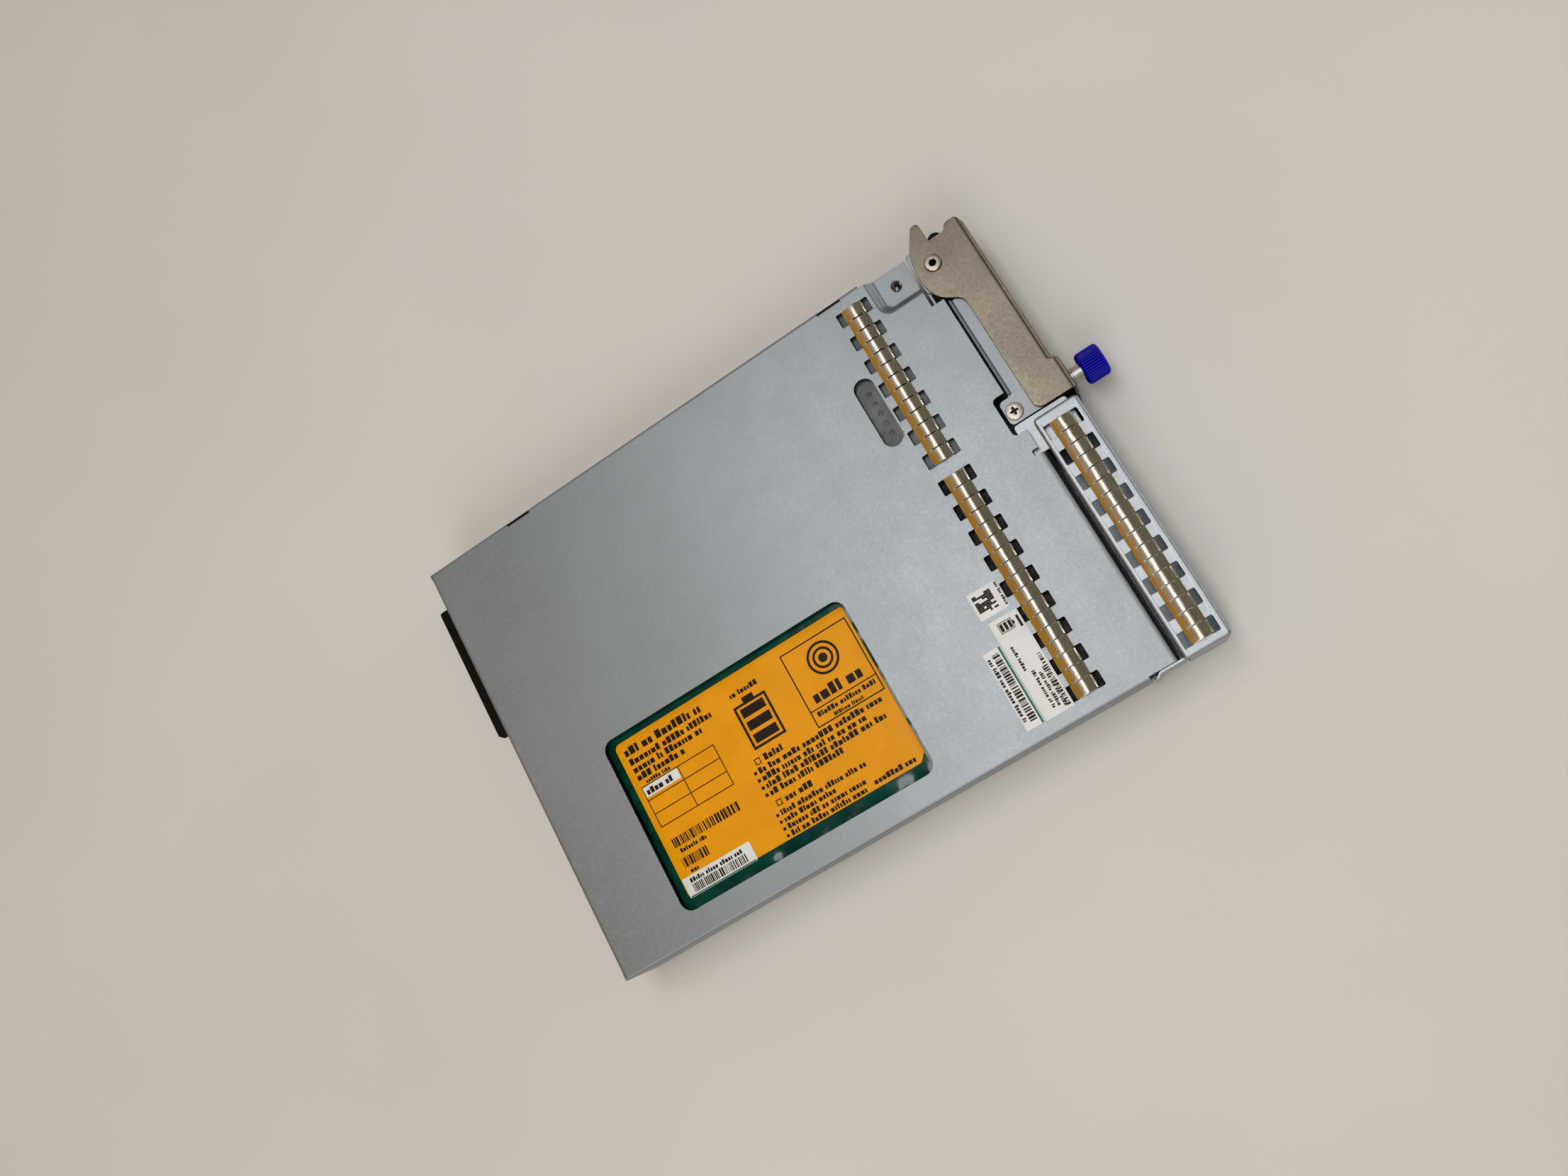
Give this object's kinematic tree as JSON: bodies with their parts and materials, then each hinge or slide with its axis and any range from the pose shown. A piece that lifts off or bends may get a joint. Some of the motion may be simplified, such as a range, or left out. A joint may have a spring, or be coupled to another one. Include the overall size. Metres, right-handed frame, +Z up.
{
  "type": "rack battery module",
  "caption": "Flat sheet-metal plug-in battery canister with a rear connector, a battery window, finger gaskets, and a cam lever locked by a captive thumbscrew.",
  "frame": {"origin": "centre of the housing's bottom face, in the plane that the canister rests on", "axes": "+X from the rear connector to the front thumbscrew, +Z up through the label side, +Y towards the long side that carries the lever pivot"},
  "size_m": [0.2443, 0.1665, 0.0268],
  "materials": {
    "zinc_sheet": "light grey zinc-coated sheet, fine spangle, satin",
    "bright_zinc": "brighter zinc-plated sheet with sparkle",
    "nickel": "matte nickel plate, warm grey",
    "tin": "mirror-like tin or nickel plate",
    "steel": "plain bright steel",
    "blue_plastic": "ultramarine blue moulded plastic",
    "black_plastic": "black moulded plastic",
    "copper": "gold-plated or bare copper alloy",
    "green_film": "dark green glossy heat-shrink film",
    "orange_label": "orange-yellow printed film label",
    "board_green": "green solder mask",
    "grey_film": "dark grey insulating film",
    "foam": "closed-cell black foam",
    "fish_paper": "insulating board",
    "red_wire": "red wire insulation",
    "black_wire": "black wire insulation",
    "ivory_plastic": "ivory nylon"
  },
  "bodies": {
    "housing": {"battery_cell_1": "steel", "battery_cell_2": "steel", "battery_cell_3": "steel", "battery_cell_4": "steel", "battery_cell_5": "steel", "battery_cell_6": "steel", "battery_cell_7": "steel", "battery_cell_8": "steel", "battery_cell_9": "steel", "battery_plug": "ivory_plastic", "battery_socket": "ivory_plastic", "board_rail_front": "ivory_plastic", "board_rail_rear": "ivory_plastic", "bottom_tray": "zinc_sheet", "bracket_screw": "nickel", "capacitor_1": "black_plastic", "capacitor_2": "black_plastic", "cell_link_1": "nickel", "cell_link_2": "nickel", "cell_link_3": "nickel", "cell_link_4": "nickel", "cell_link_5": "nickel", "cell_link_6": "nickel", "cell_link_7": "nickel", "cell_link_8": "nickel", "clinch_nut": "steel", "connector_contacts_lower": "copper", "connector_contacts_upper": "copper", "connector_shell": "black_plastic", "control_board": "board_green", "controller_chip": "black_plastic", "corner_screw": "steel", "foam_pad_front": "foam", "foam_pad_rear": "foam", "front_bezel": "bright_zinc", "gasket_bezel": "tin", "gasket_lower": "tin", "gasket_upper": "tin", "heat_spreader": "steel", "insulator_sheet": "grey_film", "lever_bracket": "zinc_sheet", "lever_rivet": "tin", "negative_lead": "black_wire", "negative_tab": "nickel", "pack_end_board_inner": "fish_paper", "pack_end_board_outer": "fish_paper", "pack_label": "orange_label", "pack_sleeve": "green_film", "positive_lead": "red_wire", "positive_tab": "nickel", "power_inductor": "copper", "thermistor": "black_plastic", "top_cover": "zinc_sheet"},
    "lever": {"lever": "nickel", "thumbscrew_ferrule": "tin"},
    "screw_carrier": {"thumbscrew_spring": "steel"},
    "thumbscrew": {"thumbscrew_knob": "blue_plastic", "thumbscrew_shaft": "steel"}
  },
  "joints": [
    {"name": "lever_pivot", "type": "hinge", "parent": "housing", "child": "lever", "pos_m": [0.0961, 0.0712, 0.0125], "axis": [0, 0, 1], "range_deg": [0, 60]},
    {"name": "thumbscrew_slide", "type": "slide", "parent": "lever", "child": "screw_carrier", "axis": [-1, 0, 0], "range_m": [0, 0.004], "stiffness_N_per_m": 300, "springref_m": -0.002},
    {"name": "thumbscrew_spin", "type": "hinge", "parent": "screw_carrier", "child": "thumbscrew", "pos_m": [0.12, 0.0165, 0.0125], "axis": [1, 0, 0], "continuous": true}
  ]
}
